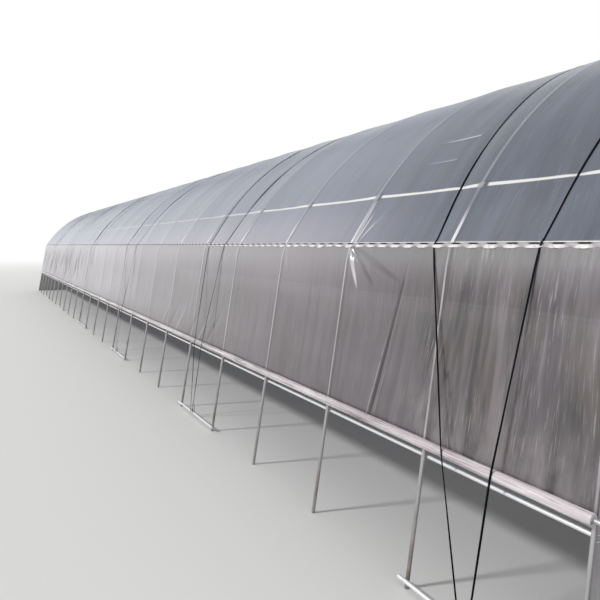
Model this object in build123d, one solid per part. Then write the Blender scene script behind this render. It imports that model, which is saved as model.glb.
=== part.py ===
"""A walk-in greenhouse tunnel: bent steel hoops under a clear film roof, with roll-up side vents.

Frame: X runs across the tunnel, Y along it and Z up. The origin is on the ground, at the middle.
All lengths are in millimetres and all angles in degrees.
"""

import os
from math import asin, atan2, cos, degrees, radians, sin, sqrt, tan

from build123d import *

# The tunnel's plan: whole bays of evenly spaced hoops
BAYS = 6
HOOPS_PER_BAY = 4
HOOP_SPACING = 1000

# A hoop's centreline: a leg that leans in, a bend at the eaves and a roof arc
FOOT_X = 3190
LEG_LEAN = 9.5
LEG_TOP_Z = 1850
BEND_R = 400
RIDGE_Z = 3620

# Tubes
HOOP_D = 25
HOOP_WALL = 1.4
PURLIN_D = 22
HEM_PIPE_D = 22
ANCHOR_D = 25
POST_D = 25
RAIL_D = 22
SPIGOT_LENGTH = 60
SPIGOT_PLAY = 0.6

# Clearance between pieces that bear on each other
FIT = 0.3

# Where the long tubes run
HAUNCH_ARC = 450
LOW_RAIL_Z = 750

# The channel that locks the film's edges, and the wire strip inside it
CHANNEL_WIDTH = 30
CHANNEL_DEPTH = 10
CHANNEL_WALL = 1.5
CHANNEL_LIP = 4
CHANNEL_OVERHANG = 40
WIRE_WIDTH = 20
WIRE_DEPTH = 4

# Films, and the side film's roll
FILM = 3
ROLL_R = 29
ROLL_Z = 830
HEM_PIPE_OVERHANG = 150

# Flat straps over the roof, two to a bay, which meet in a V at each anchor bar and bow apart towards the ridge
STRAP_WIDTH = 12
STRAP = 3
STRAP_NEAR_Y = 410
STRAP_FAR_YS = (1130, 880)
STRAP_FOOT_Y = 560
STRAP_FOOT_SPREAD = 50
STRAP_BOW = 170
STRAP_BEND_R = 40
STRAP_PLAY = 0.7
STRAP_TAIL = 90
STRAP_LAP = 4
ANCHOR_Z = 45
ANCHOR_OVERHANG = 50

# The end walls
DOOR_HALF_WIDTH = 900
DOOR_HEAD_Z = 2000
GABLE_RAIL_Z = 1000


# Plane geometry of the left side, as (x, z) pairs
def add(p, q, k=1.0):
    return (p[0] + k * q[0], p[1] + k * q[1])


def at_angle(centre, radius, angle):
    return (centre[0] + radius * cos(radians(angle)), centre[1] + radius * sin(radians(angle)))


def angle_of(p):
    return degrees(atan2(p[1], p[0]))


HOOP_R = HOOP_D / 2
LEAN = radians(LEG_LEAN)
LEG_UP = (sin(LEAN), cos(LEAN))
LEG_OUT = (-cos(LEAN), sin(LEAN))
LEG_TOP = (-FOOT_X + LEG_TOP_Z * tan(LEAN), LEG_TOP_Z)
BEND_C = add(LEG_TOP, LEG_OUT, -BEND_R)
RISE = RIDGE_Z - BEND_C[1]
ROOF_R = (BEND_C[0] ** 2 + RISE**2 - BEND_R**2) / (2 * (RISE - BEND_R))
ROOF_C = (0.0, RIDGE_Z - ROOF_R)
EAVES_OUT_ANGLE = angle_of(add(BEND_C, ROOF_C, -1))
EAVES = at_angle(ROOF_C, ROOF_R, EAVES_OUT_ANGLE)
EAVES_OUT = (cos(radians(EAVES_OUT_ANGLE)), sin(radians(EAVES_OUT_ANGLE)))
EAVES_DOWN = (-EAVES_OUT[1], EAVES_OUT[0])
LEG_OUT_ANGLE = angle_of(LEG_OUT)

# How far layers lie from a hoop's centreline
SKIN = HOOP_R + FIT
FILM_TOP = SKIN + FILM
CHANNEL_TOP = SKIN + CHANNEL_DEPTH

# Along the tunnel
LENGTH = BAYS * HOOPS_PER_BAY * HOOP_SPACING
END_Y = LENGTH / 2
HOOP_YS = [-END_Y + i * HOOP_SPACING for i in range(BAYS * HOOPS_PER_BAY + 1)]
FRAME_LENGTH = LENGTH + HOOP_D


def leg_point(z):
    """The point of the left leg's centreline at height z."""
    return (-FOOT_X + z * tan(LEAN), z)


ROLL_C = add(leg_point(ROLL_Z), LEG_OUT, SKIN + ROLL_R)
ANCHOR_C = add(leg_point(ANCHOR_Z), LEG_OUT, SKIN + ANCHOR_D / 2)


# Helpers that make solids
def arc(centre, radius, start, end):
    return CenterArc(centre, radius, start, end - start)


def across(face, length):
    """A section drawn as (x, z), run along the tunnel by length, centred."""
    return extrude(Plane.XZ * face, length / 2, both=True)


def bar_along(centre, diameter, length):
    return across(Pos(*centre) * Circle(diameter / 2), length)


def moved(shape, y):
    return Pos(0, y, 0) * shape


def mirrored(shape):
    return mirror(shape, about=Plane.YZ)


def tube(path, diameter):
    """A round bar along a path drawn as (x, z)."""
    section = Plane(origin=path @ 0, z_dir=path % 0) * Circle(diameter / 2)
    return sweep(section, path=path)


# Hoops, each in two halves that plug together at the ridge
def half_hoop_centreline():
    below = add(leg_point(0), LEG_UP, -HOOP_D)
    leg = Line(below, LEG_TOP)
    bend = arc(BEND_C, BEND_R, LEG_OUT_ANGLE, EAVES_OUT_ANGLE)
    roof = arc(ROOF_C, ROOF_R, EAVES_OUT_ANGLE, 90)
    return Plane.XZ * Wire([*leg.edges(), *bend.edges(), *roof.edges()])


def ridge_bar(diameter, length):
    """A round bar on the roof arc, from just left of the ridge to the right."""
    start = 90 + degrees(FIT / ROOF_R)
    end = 90 - degrees(length / ROOF_R)
    return tube(Plane.XZ * arc(ROOF_C, ROOF_R, start, end), diameter)


def half_hoop():
    blank = tube(half_hoop_centreline(), HOOP_D)
    buried = Pos(-FOOT_X, 0, -HOOP_D) * Box(8 * HOOP_D, 2 * HOOP_D, 2 * HOOP_D)
    return blank - buried


def hoop():
    half = half_hoop()
    bore = HOOP_D - 2 * HOOP_WALL
    spigot = ridge_bar(bore - 2 * SPIGOT_PLAY, SPIGOT_LENGTH)
    socket = ridge_bar(bore, SPIGOT_LENGTH + SPIGOT_PLAY)
    seam = Pos(0, 0, RIDGE_Z) * Box(FIT, 2 * HOOP_D, 2 * HOOP_D)
    left = half - seam + spigot
    right = mirrored(half) - seam - socket
    return [left, right]


def hoops(ys):
    pair = hoop()
    return [moved(half, y) for y in ys for half in pair]


# Long tubes inside the hoops
def ridge_purlin():
    centre = (0, RIDGE_Z - SKIN - PURLIN_D / 2)
    return bar_along(centre, PURLIN_D, FRAME_LENGTH)


def haunch_purlin():
    angle = EAVES_OUT_ANGLE - degrees(HAUNCH_ARC / ROOF_R)
    centre = at_angle(ROOF_C, ROOF_R - SKIN - PURLIN_D / 2, angle)
    return bar_along(centre, PURLIN_D, FRAME_LENGTH)


def low_rail():
    centre = add(leg_point(LOW_RAIL_Z), LEG_OUT, -SKIN - PURLIN_D / 2)
    return bar_along(centre, PURLIN_D, FRAME_LENGTH)


# Film locks at the eaves
def on_eaves(points):
    """Turns (down the slope, out from the hoop's centreline) pairs into (x, z)."""
    return [add(add(EAVES, EAVES_DOWN, down), EAVES_OUT, out) for down, out in points]


def film_channel():
    half = CHANNEL_WIDTH / 2
    inner = half - CHANNEL_WALL
    mouth = half - CHANNEL_LIP
    floor = SKIN + CHANNEL_WALL
    under_lip = CHANNEL_TOP - CHANNEL_WALL
    outside = [(-half, SKIN), (half, SKIN), (half, CHANNEL_TOP), (mouth, CHANNEL_TOP)]
    inside = [(mouth, under_lip), (inner, under_lip), (inner, floor), (-inner, floor)]
    far_lip = [(-inner, under_lip), (-mouth, under_lip), (-mouth, CHANNEL_TOP), (-half, CHANNEL_TOP)]
    section = make_face(Polyline(*on_eaves(outside + inside + far_lip), close=True))
    return across(section, LENGTH + 2 * CHANNEL_OVERHANG)


def lock_wire():
    half = WIRE_WIDTH / 2
    low = SKIN + CHANNEL_WALL + FIT
    high = low + WIRE_DEPTH
    corners = [(-half, low), (half, low), (half, high), (-half, high)]
    return across(make_face(Polyline(*on_eaves(corners), close=True)), FRAME_LENGTH)


# Films
def roof_film():
    low = ROOF_R + SKIN
    high = low + FILM
    end = EAVES_OUT_ANGLE - degrees(asin((CHANNEL_WIDTH / 2 + FIT) / low))
    under = arc(ROOF_C, low, end, 180 - end)
    over = arc(ROOF_C, high, 180 - end, end)
    sides = [Line(under @ 1, over @ 0), Line(over @ 1, under @ 0)]
    section = make_face([*under.edges(), *over.edges(), *sides[0].edges(), *sides[1].edges()])
    return across(section, FRAME_LENGTH)


def side_film():
    low = BEND_R + SKIN
    high = low + FILM
    start = EAVES_OUT_ANGLE + degrees(asin((CHANNEL_WIDTH / 2 + FIT) / low))
    rise = sqrt(ROLL_R**2 - (ROLL_R - FILM - FIT) ** 2)
    hem = add(leg_point(ROLL_Z), LEG_UP, rise)
    inner = arc(BEND_C, low, start, LEG_OUT_ANGLE)
    outer = arc(BEND_C, high, LEG_OUT_ANGLE, start)
    hem_inner = add(hem, LEG_OUT, SKIN)
    hem_outer = add(hem, LEG_OUT, FILM_TOP)
    straight = Polyline(inner @ 1, hem_inner, hem_outer, outer @ 0)
    cap = Line(outer @ 1, inner @ 0)
    section = make_face([*inner.edges(), *straight.edges(), *outer.edges(), *cap.edges()])
    return across(section, FRAME_LENGTH)


def hem_roll():
    bore = HEM_PIPE_D / 2 + FIT
    return across(Pos(*ROLL_C) * (Circle(ROLL_R) - Circle(bore)), FRAME_LENGTH)


def hem_pipe():
    return bar_along(ROLL_C, HEM_PIPE_D, LENGTH + 2 * HEM_PIPE_OVERHANG)


# Straps over the roof
def strap_arc():
    """The centre and radius of the strap's middle line, which clears the channels and the film."""
    low = add(EAVES, EAVES_OUT, CHANNEL_TOP + FIT)
    top = RIDGE_Z + FILM_TOP + FIT
    height = (top**2 - low[0] ** 2 - low[1] ** 2) / (2 * (top - low[1]))
    return (0.0, height), top - height + STRAP / 2


def strap_top():
    """The angle and the place at which the strap's middle line leaves the roof, past the channel."""
    centre, radius = strap_arc()
    angle = EAVES_OUT_ANGLE + degrees((CHANNEL_WIDTH / 2 + STRAP) / radius)
    return angle, at_angle(centre, radius, angle)


def touching_angle(p, q):
    """The angle of the normal to the line that touches both (centre, radius) circles on their left."""
    gap = add(q[0], p[0], -1)
    far = sqrt(gap[0] ** 2 + gap[1] ** 2)
    along = (gap[0] / far, gap[1] / far)
    left = (along[1], -along[0])
    share = (p[1] - q[1]) / far
    return angle_of(add((along[0] * share, along[1] * share), left, sqrt(1 - share**2))) % 360


def pulled_over(circles, start_angle, end_angle):
    """The line of a strap pulled over circles in turn, which passes those that it doesn't reach."""
    held = [(circles[0], start_angle)]
    for circle in circles[1:]:
        while len(held) > 1 and touching_angle(held[-1][0], circle) < held[-1][1]:
            held.pop()
        held.append((circle, touching_angle(held[-1][0], circle)))
    ends = [angle for _, angle in held[1:]] + [end_angle]
    arcs = [arc(*circle, angle, end) for (circle, angle), end in zip(held, ends)]
    lines = [Line(one @ 1, other @ 0) for one, other in zip(arcs, arcs[1:])]
    return arcs, lines


def wall_strap_path(tilt):
    """The strap's middle line down the wall, in a plane through its top that tilts along the tunnel."""
    start_angle, top = strap_top()

    def over(middle, round_r, angle):
        """The circle in that plane that lies on a round piece at an angle, half a strap away."""
        level_r = round_r + STRAP_PLAY + STRAP / 2
        touch = at_angle(middle, level_r, angle)
        in_plane = (touch[0], (touch[1] - top[1]) / cos(tilt))
        tilted_r = level_r / cos(tilt) ** 2
        return at_angle(in_plane, tilted_r, angle + 180), tilted_r

    start = (top[0], 0)
    knee = (at_angle(start, STRAP_BEND_R, start_angle + 180), STRAP_BEND_R)
    low_bend = (EAVES_OUT_ANGLE + 3 * LEG_OUT_ANGLE) / 4
    bend = over(BEND_C, BEND_R + FILM_TOP, low_bend)
    roll = over(ROLL_C, ROLL_R, LEG_OUT_ANGLE)
    bar = over(ANCHOR_C, ANCHOR_D / 2 + STRAP_PLAY, LEG_OUT_ANGLE)
    arcs, lines = pulled_over([knee, bend, roll, bar], start_angle, 360)
    lap = Line(at_angle(start, STRAP_LAP, start_angle - 90), start)
    inner_side = at_angle(*bar, 0)
    tail = Line(arcs[-1] @ 1, add(inner_side, (0, STRAP_TAIL)))
    parts = [lap, *arcs, *lines, tail]
    return Wire([edge for part in parts for edge in part.edges()])


def wall_strap(y, foot_y):
    _, top = strap_top()
    tilt = atan2(foot_y - y, top[1] - ANCHOR_Z)
    path = wall_strap_path(tilt)
    section = Plane(origin=path @ 0, x_dir=(0, 0, 1), z_dir=path % 0) * Rectangle(STRAP_WIDTH, STRAP)
    strip = sweep(section, path=path)
    plane = Plane(origin=(0, y, top[1]), x_dir=(1, 0, 0), z_dir=(0, -cos(tilt), -sin(tilt)))
    return plane * strip


def roof_strap(y, bow):
    """The strap from channel to channel, cut out of a curved sheet along an arc that bows along the tunnel."""
    centre, radius = strap_arc()
    end, top = strap_top()
    under = arc(centre, radius - STRAP / 2, end, 180 - end)
    over = arc(centre, radius + STRAP / 2, 180 - end, end)
    sides = [Line(under @ 1, over @ 0), Line(over @ 1, under @ 0)]
    section = make_face([*under.edges(), *over.edges(), *sides[0].edges(), *sides[1].edges()])
    sheet = moved(across(section, 4 * (abs(bow) + STRAP_WIDTH)), y)
    turn_y = y + bow - (top[0] ** 2 + bow**2) / (2 * bow)
    turn_r = abs(y + bow - turn_y)
    ring = Circle(turn_r + STRAP_WIDTH / 2) - Circle(turn_r - STRAP_WIDTH / 2)
    return sheet & Pos(0, turn_y, 0) * extrude(ring, 2 * RIDGE_Z)


def strap(y, foot_y, bow):
    wall = wall_strap(y, foot_y)
    return roof_strap(y, bow) + wall + mirrored(wall)


def straps(bay):
    first_y = HOOP_YS[bay * HOOPS_PER_BAY]
    foot_y = first_y + STRAP_FOOT_Y
    far_y = first_y + STRAP_FAR_YS[bay % len(STRAP_FAR_YS)]
    near = strap(first_y + STRAP_NEAR_Y, foot_y - STRAP_FOOT_SPREAD / 2, -STRAP_BOW)
    far = strap(far_y, foot_y + STRAP_FOOT_SPREAD / 2, STRAP_BOW)
    return [near, far]


def anchor_bars():
    bar = bar_along(ANCHOR_C, ANCHOR_D, HOOP_SPACING + 2 * ANCHOR_OVERHANG)
    first_ys = HOOP_YS[: -1 : HOOPS_PER_BAY]
    return [moved(bar, y + HOOP_SPACING / 2) for y in first_ys]


# End walls
def inside_hoop_z(x, radius):
    """How high the roof arc of that radius is, at x."""
    return ROOF_C[1] + sqrt(radius**2 - x**2)


def gable_side():
    """The end wall's film left of the doorway, out to the hoop's outside."""
    reach = ROOF_R + HOOP_R
    top_angle = degrees(asin(DOOR_HALF_WIDTH / reach)) + 90
    foot = add(leg_point(0), LEG_OUT, HOOP_R)
    foot = (foot[0] - foot[1] * tan(LEAN), 0)
    roof = arc(ROOF_C, reach, top_angle, EAVES_OUT_ANGLE)
    bend = arc(BEND_C, BEND_R + HOOP_R, EAVES_OUT_ANGLE, LEG_OUT_ANGLE)
    rest = Polyline(bend @ 1, foot, (-DOOR_HALF_WIDTH, 0), roof @ 0)
    return across(make_face([*roof.edges(), *bend.edges(), *rest.edges()]), FILM)


def gable_over_door():
    reach = ROOF_R + HOOP_R
    half = DOOR_HALF_WIDTH - FIT
    turn = degrees(asin(half / reach))
    top = arc(ROOF_C, reach, 90 - turn, 90 + turn)
    rest = Polyline(top @ 1, (-half, DOOR_HEAD_Z), (half, DOOR_HEAD_Z), top @ 0)
    return across(make_face([*top.edges(), *rest.edges()]), FILM)


def door_post():
    top = inside_hoop_z(DOOR_HALF_WIDTH + POST_D / 2, ROOF_R - SKIN)
    post = extrude(Circle(POST_D / 2), top)
    return Pos(-DOOR_HALF_WIDTH, 0, 0) * post


def door_head():
    length = 2 * DOOR_HALF_WIDTH - POST_D - 2 * FIT
    return Pos(0, 0, DOOR_HEAD_Z) * extrude(Plane.YZ * Circle(RAIL_D / 2), length / 2, both=True)


def gable_rail():
    near = -DOOR_HALF_WIDTH - POST_D / 2 - FIT
    face = add(leg_point(GABLE_RAIL_Z + RAIL_D / 2), LEG_OUT, -SKIN)
    far = face[0] + (GABLE_RAIL_Z + RAIL_D / 2 - face[1]) * tan(LEAN)
    rail = extrude(Plane.YZ * Circle(RAIL_D / 2), near - far)
    return Pos(far, 0, GABLE_RAIL_Z) * rail


def end_wall(y, out):
    """The nodes of one end wall, flush on its outside. out is the way that the wall faces along Y."""
    skin_y = y + out * (SKIN + FILM / 2)
    rail_y = y + out * (HOOP_R - RAIL_D / 2)
    side = moved(gable_side(), skin_y)
    post = moved(door_post(), y + out * (HOOP_R - POST_D / 2))
    rail = moved(gable_rail(), rail_y)
    return {
        "gable_film_{}_left": [side],
        "gable_film_{}_right": [mirrored(side)],
        "gable_film_{}_over_door": [moved(gable_over_door(), skin_y)],
        "door_posts_{}": [post, mirrored(post)],
        "door_head_{}": [moved(door_head(), rail_y)],
        "gable_rails_{}": [rail, mirrored(rail)],
    }


def save(node, solids):
    shape = solids[0] if len(solids) == 1 else Compound(children=[solid.solid() for solid in solids])
    export_step(shape, f"parts/{node}.step")


def nodes():
    for bay in range(BAYS):
        first = bay * HOOPS_PER_BAY
        yield f"hoops_bay_{bay + 1}", hoops(HOOP_YS[first : first + HOOPS_PER_BAY])
        yield f"hold_down_straps_bay_{bay + 1}", straps(bay)
    yield "end_hoop", hoops(HOOP_YS[-1:])
    yield "ridge_purlin", [ridge_purlin()]
    yield "roof_film", [roof_film()]
    both_sides = {
        "haunch_purlin": [haunch_purlin()],
        "low_rail": [low_rail()],
        "film_channel": [film_channel()],
        "lock_wire": [lock_wire()],
        "side_film": [side_film()],
        "hem_roll": [hem_roll()],
        "hem_pipe": [hem_pipe()],
        "anchor_bars": anchor_bars(),
    }
    for name, solids in both_sides.items():
        yield f"{name}_left", solids
        yield f"{name}_right", [mirrored(solid) for solid in solids]
    for place, y, out in (("front", HOOP_YS[0], -1), ("back", HOOP_YS[-1], 1)):
        for name, solids in end_wall(y, out).items():
            yield name.format(place), solids


def main():
    os.makedirs("parts", exist_ok=True)
    for node, solids in nodes():
        save(node, solids)


main()
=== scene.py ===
"""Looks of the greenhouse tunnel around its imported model: films, straps, locks, clips and finishes.

All lengths are in metres. Angles are in degrees where a name ends in _DEG, and in radians elsewhere.
A section is measured by arc, the length along the hoop from the ridge down to the left.
A mesh is a pair of points and faces.
"""

from math import asin, atan2, cos, pi, radians, sin, sqrt, tan

import bpy
import numpy as np
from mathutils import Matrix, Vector

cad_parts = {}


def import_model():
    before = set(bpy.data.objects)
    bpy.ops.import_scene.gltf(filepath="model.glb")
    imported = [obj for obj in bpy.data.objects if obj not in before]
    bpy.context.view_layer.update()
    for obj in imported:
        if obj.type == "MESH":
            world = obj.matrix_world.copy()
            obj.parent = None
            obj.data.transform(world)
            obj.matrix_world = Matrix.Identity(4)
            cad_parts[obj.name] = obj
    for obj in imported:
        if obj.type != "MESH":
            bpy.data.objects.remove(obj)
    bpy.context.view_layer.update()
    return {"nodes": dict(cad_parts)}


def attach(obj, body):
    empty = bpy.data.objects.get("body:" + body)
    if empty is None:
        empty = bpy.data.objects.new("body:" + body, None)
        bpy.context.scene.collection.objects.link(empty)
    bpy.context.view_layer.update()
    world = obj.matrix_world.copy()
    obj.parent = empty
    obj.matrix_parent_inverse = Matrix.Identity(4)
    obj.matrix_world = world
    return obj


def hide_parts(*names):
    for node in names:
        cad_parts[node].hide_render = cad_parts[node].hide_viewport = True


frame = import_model()

# The tunnel's sizes, as in its solids
BAYS = 6
BAY = 4.0
HOOP_SPACING = 1.0
END_Y = BAYS * BAY / 2
FOOT_X = 3.19
LEAN = radians(9.5)
LEG_TOP_Z = 1.85
BEND_R = 0.4
RIDGE_Z = 3.62
HOOP_R = 0.0125
PURLIN_R = 0.011
ANCHOR_R = 0.0125
FIT = 0.0003
HAUNCH_ARC = 0.45
LOW_RAIL_Z = 0.75
CHANNEL_HALF = 0.015
CHANNEL_DEPTH = 0.01
CHANNEL_LIP = 0.004
ROLL_R = 0.029
ROLL_Z = 0.83
STRAP_WIDTH = 0.012
STRAP_NEAR_Y = 0.41
STRAP_FAR_YS = (1.13, 0.88)
STRAP_FOOT_Y = 0.56
STRAP_FOOT_SPREAD = 0.05
STRAP_BOW = 0.17
STRAP_TAIL = 0.09
ANCHOR_Z = 0.045
DOOR_HALF = 0.9
DOOR_HEAD_Z = 2.0
GABLE_RAIL_Z = 1.0

# The section of a hoop's centreline: leg, bend and roof arc
LEG_TOP_X = -FOOT_X + LEG_TOP_Z * tan(LEAN)
BEND_X = LEG_TOP_X + BEND_R * cos(LEAN)
BEND_Z = LEG_TOP_Z - BEND_R * sin(LEAN)
RISE = RIDGE_Z - BEND_Z
ROOF_R = (BEND_X**2 + RISE**2 - BEND_R**2) / (2 * (RISE - BEND_R))
ROOF_Z = RIDGE_Z - ROOF_R
EAVES_TURN = atan2(-BEND_X, BEND_Z - ROOF_Z)
LEG_TURN = pi / 2 - LEAN
EAVES_ARC = ROOF_R * EAVES_TURN
BEND_END_ARC = EAVES_ARC + BEND_R * (LEG_TURN - EAVES_TURN)

# The channel's edges by arc, and how far its lips' inner edges are from its middle
UPPER_LIP = EAVES_ARC - CHANNEL_HALF
LOWER_LIP = EAVES_ARC + CHANNEL_HALF
LIP_INNER = CHANNEL_HALF - CHANNEL_LIP

# How far things lie from a hoop's centreline
SKIN = HOOP_R + FIT
FILM_AT = HOOP_R + 0.0006
CHANNEL_TOP = SKIN + CHANNEL_DEPTH
LIP_AT = CHANNEL_TOP + 0.0006
IN_CHANNEL = SKIN + 0.005

# Slack and folds of the films
ROOF_SAG = 0.009
SIDE_SAG = 0.006
STRAP_DENT = 0.004
STRAP_DENT_WIDTH = 0.06
HEM = 0.035
HEM_MARK = 0.4
STEEP = 0.22


# Section geometry
def outline(arc, offset):
    """The x and z at an arc from the ridge, offset outward. Negative arcs are on the right."""
    side = np.where(arc < 0, 1.0, -1.0)
    arc = abs(arc)
    roof_turn = np.minimum(arc, EAVES_ARC) / ROOF_R
    turn = roof_turn + np.clip(arc - EAVES_ARC, 0, BEND_END_ARC - EAVES_ARC) / BEND_R
    down = np.maximum(arc - BEND_END_ARC, 0)
    x = (ROOF_R - BEND_R) * np.sin(roof_turn) + (BEND_R + offset) * np.sin(turn) + down * sin(LEAN)
    z = ROOF_Z + (ROOF_R - BEND_R) * np.cos(roof_turn) + (BEND_R + offset) * np.cos(turn) - down * cos(LEAN)
    return side * x, z


def height_at(arc, offset=0.0):
    return float(outline(arc, offset)[1])


def leg_arc(z):
    """The arc at which the leg's centreline has height z."""
    return BEND_END_ARC + (LEG_TOP_Z - z) / cos(LEAN)


def off_leg(z, offset):
    """The x and z of a point beside the left leg."""
    return -FOOT_X + z * tan(LEAN) - offset * cos(LEAN), z + offset * sin(LEAN)


ROLL_ARC = leg_arc(ROLL_Z)
ROLL_CENTRE = off_leg(ROLL_Z, SKIN + ROLL_R)
ANCHOR_CENTRE = off_leg(ANCHOR_Z, SKIN + ANCHOR_R)
EAVES_Z = height_at(EAVES_ARC)
UPPER_LIP_Z = height_at(UPPER_LIP)
LOWER_LIP_Z = height_at(LOWER_LIP)


# Meshes
def shown(name, data):
    """A new object in the scene."""
    made = bpy.data.objects.new(name, data)
    bpy.context.scene.collection.objects.link(made)
    return made


def piece(name, mesh, material, stands_for=None, marks=(), smooth=True):
    """A mesh object on the tunnel. Its marks are named values of its points."""
    points, faces = mesh
    data = bpy.data.meshes.new(name)
    data.from_pydata(points.tolist(), [], faces)
    data.polygons.foreach_set("use_smooth", [smooth] * len(data.polygons))
    data.materials.append(material)
    for mark, values in dict(marks).items():
        whole = np.zeros(len(points), np.float32)
        whole[: len(values)] = values
        data.attributes.new(mark, "FLOAT", "POINT").data.foreach_set("value", whole)
    made = shown(name, data)
    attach(made, "root")
    if stands_for:
        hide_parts(stands_for)
    return made


def stacked(x, y, z):
    """Points from their coordinates, each one number or one for every point."""
    return np.stack(np.broadcast_arrays(x, y, z), axis=-1)


def through(lines, closed=False):
    """A mesh of quads through lines of points. A closed one joins the ends of each line."""
    points = np.stack(lines)
    at = np.arange(points.size // 3).reshape(points.shape[:2])
    if closed:
        at = np.column_stack([at, at[:, 0]])
    corners = [at[:-1, :-1], at[:-1, 1:], at[1:, 1:], at[1:, :-1]]
    return points.reshape(-1, 3), np.stack(corners, axis=-1).reshape(-1, 4).tolist()


def joined(meshes):
    """Several meshes as one."""
    points, faces, first = [], [], 0
    for some_points, some_faces in meshes:
        points.append(some_points)
        faces += [[index + first for index in face] for face in some_faces]
        first += len(some_points)
    return np.concatenate(points), faces


def unchanged(mesh):
    return mesh


def mirrored(mesh):
    """The same on the tunnel's other side."""
    points, faces = mesh
    return points * (-1, 1, 1), [face[::-1] for face in faces]


SIDES = (("left", unchanged), ("right", mirrored))


def repeated(mesh, ys):
    """Copies of a mesh at places along the tunnel."""
    points, faces = mesh
    return joined([(points + (0, y, 0), faces) for y in ys])


def unit(vectors):
    return vectors / np.linalg.norm(vectors, axis=1)[:, None]


def swept(path, section, up, twist=0.0):
    """A closed section of (beside, away) pairs, carried along a path, twisted and capped."""
    along = unit(np.gradient(path, axis=0))
    beside = unit(np.cross(along, up))
    away = np.cross(beside, along)
    turn = np.reshape(twist, (-1, 1))
    first = beside * np.cos(turn) + away * np.sin(turn)
    second = away * np.cos(turn) - beside * np.sin(turn)
    section = np.asarray(section)
    lines = path[:, None] + first[:, None] * section[:, :1] + second[:, None] * section[:, 1:]
    points, faces = through(lines, closed=True)
    start = list(range(len(section)))
    end = [index + len(points) - len(section) for index in start]
    return points, faces + [start[::-1], end]


def ring(radius, sides):
    turns = np.linspace(0, 2 * pi, sides, endpoint=False)
    return np.stack([radius * np.cos(turns), radius * np.sin(turns)], axis=-1)


def resampled(path, step):
    """The same line with points about a step apart."""
    far = np.concatenate([[0], np.cumsum(np.linalg.norm(np.diff(path, axis=0), axis=1))])
    places = np.linspace(0, far[-1], max(int(far[-1] / step), 2) + 1)
    return np.stack([np.interp(places, far, path[:, axis]) for axis in range(3)], axis=-1)


# Slow random shapes, the same in every run, and folds
def within(value):
    """A value kept between 0 and 1."""
    return np.clip(value, 0, 1)


def waves(seed, arc, y, arc_length, y_length, count=14):
    """A smooth random height of about -1 to 1, with hills of about the given lengths."""
    chance = np.random.default_rng(seed)
    total = 0.0
    for _ in range(count):
        k_arc = 2 * pi / arc_length * chance.normal(0, 0.6)
        k_y = 2 * pi / y_length * chance.uniform(0.5, 1.6)
        total += np.cos(k_arc * arc + k_y * y + chance.uniform(0, 2 * pi))
    return total / sqrt(count)


def crease(arc, y, start, end, width, height):
    """A fold from one (arc, y) place to another, which fades at its far end."""
    ax, ay = start
    bx, by = end
    length = (bx - ax) ** 2 + (by - ay) ** 2
    share = within(((arc - ax) * (bx - ax) + (y - ay) * (by - ay)) / length)
    gap = np.hypot(arc - ax - share * (bx - ax), y - ay - share * (by - ay))
    spread = width * (0.6 + 0.4 * share) * (1 - 0.8 * share**3)
    return height * np.exp(-((gap / spread) ** 2)) * (1 - share**2)


def lip_folds(arc, y, lip, way, seed, width, height, listed):
    """Folds from a lip of the channel: listed ones, and small random ones farther back."""
    chance = np.random.default_rng(seed)
    total = np.zeros_like(y)
    for hoop in hoop_ys()[3:-1]:
        for side in (1, -1, 1, -1):
            lean = chance.uniform(-0.15, 0.10)
            reach = chance.uniform(0.12, 0.3)
            tall = height * chance.uniform(0.3, 1.0)
            near = abs(y - hoop) < 0.5
            start = (side * lip, hoop + chance.uniform(-0.03, 0.03))
            end = (side * (lip + way * reach), hoop + lean * reach)
            total[near] += crease(arc[near], y[near], start, end, width, tall)
    for (near_lip, start_y), (away, end_y), *size in listed:
        total += crease(arc, y, (lip + way * near_lip, start_y), (lip + way * away, end_y), *size)
    return total


# Where things are along the tunnel
def hoop_ys():
    return np.arange(-END_Y, END_Y + HOOP_SPACING / 2, HOOP_SPACING)


def from_hoop(y):
    """Signed distance to the nearest hoop."""
    return y - np.round(y / HOOP_SPACING) * HOOP_SPACING


def strap_places():
    """(bay, y at the channel, y at the foot, bow towards the ridge) of every strap."""
    for bay in range(BAYS):
        first = -END_Y + bay * BAY
        foot = first + STRAP_FOOT_Y
        far = first + STRAP_FAR_YS[bay % len(STRAP_FAR_YS)]
        yield bay + 1, first + STRAP_NEAR_Y, foot - STRAP_FOOT_SPREAD / 2, -STRAP_BOW
        yield bay + 1, far, foot + STRAP_FOOT_SPREAD / 2, STRAP_BOW


def strap_on_roof(arc, top_y, bow):
    """The y of a strap at an arc of the roof."""
    across = np.sin(np.minimum(abs(arc), EAVES_ARC) / ROOF_R) / sin(EAVES_TURN)
    return top_y + bow * (1 - across**2)


def strap_on_wall(z, top_y, foot_y):
    """The y of a strap at a height below the channel."""
    top_z = height_at(LOWER_LIP, LIP_AT)
    return top_y + (foot_y - top_y) * within((top_z - z) / (top_z - ANCHOR_Z))


# A film's grid lines along the tunnel
HOOP_LINES = np.array([-0.05, -0.025, -0.0125, -0.005, 0.005, 0.0125, 0.025, 0.05])
NEAR_LENGTH = 2.4
FAN_START_Y = -10.75
FAN_END_Y = -9.9
FAN_STEP = 0.009
CLOSEST_LINES = 0.0035


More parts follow.
